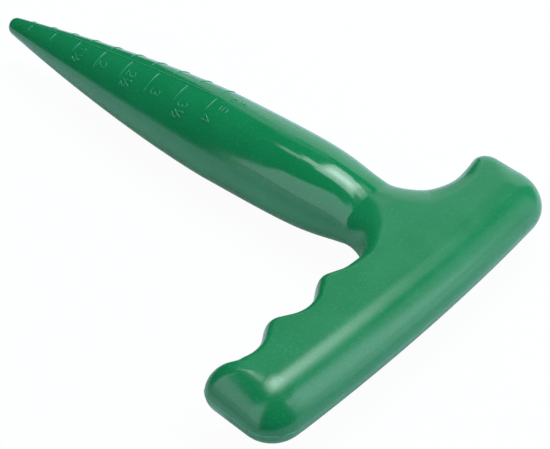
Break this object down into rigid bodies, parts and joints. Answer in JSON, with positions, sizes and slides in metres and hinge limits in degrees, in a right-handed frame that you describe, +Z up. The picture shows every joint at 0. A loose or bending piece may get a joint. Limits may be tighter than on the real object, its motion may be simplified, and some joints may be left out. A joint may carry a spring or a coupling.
{
  "type": "dibber",
  "caption": "Hollow plastic dibber with a tapered spike, a raised depth scale and a T-shaped handle with finger grooves, for making planting holes.",
  "frame": {"origin": "middle of the bottom of the bounding box, with the tool lying flat", "axes": "+X from the tip of the spike to the handle, +Y towards the short arm, +Z up, square to the parting plane"},
  "size_m": [0.205, 0.1334, 0.0295],
  "materials": {
    "green_plastic": "glossy, with a fine pearly speckle",
    "weld_plastic": "satin, slightly ragged"
  },
  "bodies": {
    "root": {"upper_shell": "green_plastic", "lower_shell": "green_plastic", "weld_bead": "weld_plastic"}
  },
  "joints": []
}
